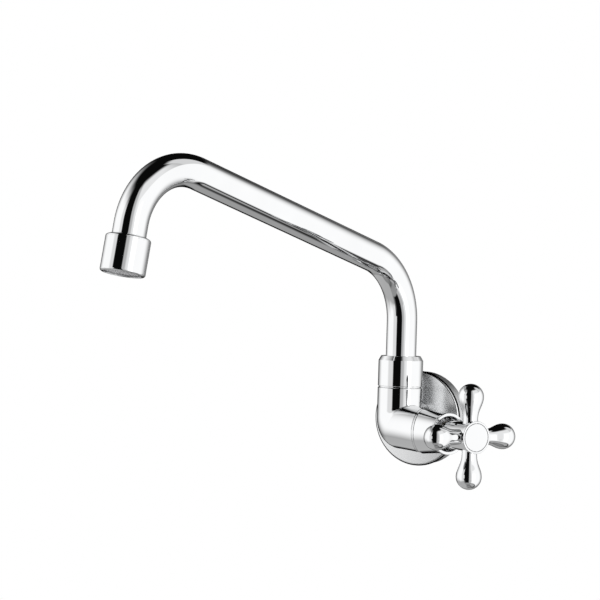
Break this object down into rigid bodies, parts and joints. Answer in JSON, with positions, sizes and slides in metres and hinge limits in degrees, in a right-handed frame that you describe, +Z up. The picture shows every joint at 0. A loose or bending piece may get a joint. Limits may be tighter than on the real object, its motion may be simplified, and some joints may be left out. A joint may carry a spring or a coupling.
{
  "type": "wall-mounted tap",
  "caption": "Wall-mounted tap with a cross handle at its side, a round wall flange and a swan-neck spout that swivels.",
  "frame": {"origin": "on the wall plane, where the inlet's axis crosses it", "axes": "-Y straight out of the wall towards the user, +X to the user's right, +Z up"},
  "size_m": [0.1438, 0.2743, 0.1808],
  "materials": {
    "chrome": "polished",
    "mesh_steel": "satin",
    "brass": "satin",
    "steel": "satin",
    "white_ceramic": "satin",
    "brown_ceramic": "satin",
    "white_plastic": "matte",
    "fibre": "matte",
    "rubber": "matte"
  },
  "bodies": {
    "tap": {"wall_flange": "chrome", "flange_grip_ring": "rubber", "inlet_nipple": "brass", "nipple_washer": "fibre", "tap_body": "chrome", "bonnet_sleeve": "chrome", "cartridge_body": "brass", "cartridge_gasket": "fibre", "seat_seal": "rubber", "fixed_disc": "white_ceramic", "swivel_collar": "chrome", "lower_glide_ring": "white_plastic", "upper_glide_ring": "white_plastic"},
    "handle": {"moving_disc": "brown_ceramic", "spindle": "brass", "spindle_o_rings": "rubber", "spindle_clip": "steel", "handle_hub": "chrome", "handle_screw": "steel", "index_cap": "chrome", "handle_arm_top": "chrome", "handle_arm_front": "chrome", "handle_arm_bottom": "chrome", "handle_arm_back": "chrome"},
    "spout": {"spout_ferrule": "brass", "ferrule_o_rings": "rubber", "spout_tube": "chrome", "outlet_collar": "chrome", "aerator_shell": "chrome", "aerator_gasket": "rubber", "aerator_cage": "white_plastic", "aerator_mesh": "mesh_steel"}
  },
  "joints": [
    {"name": "handle_turn", "type": "hinge", "parent": "tap", "child": "handle", "pos_m": [0, -0.033, -0.0046], "axis": [0.8746, -0.4848, 0], "range_deg": [0, 90]},
    {"name": "spout_swivel", "type": "hinge", "parent": "tap", "child": "spout", "pos_m": [0, -0.033, 0.03], "axis": [0, 0, 1], "range_deg": [-77, 103]}
  ]
}
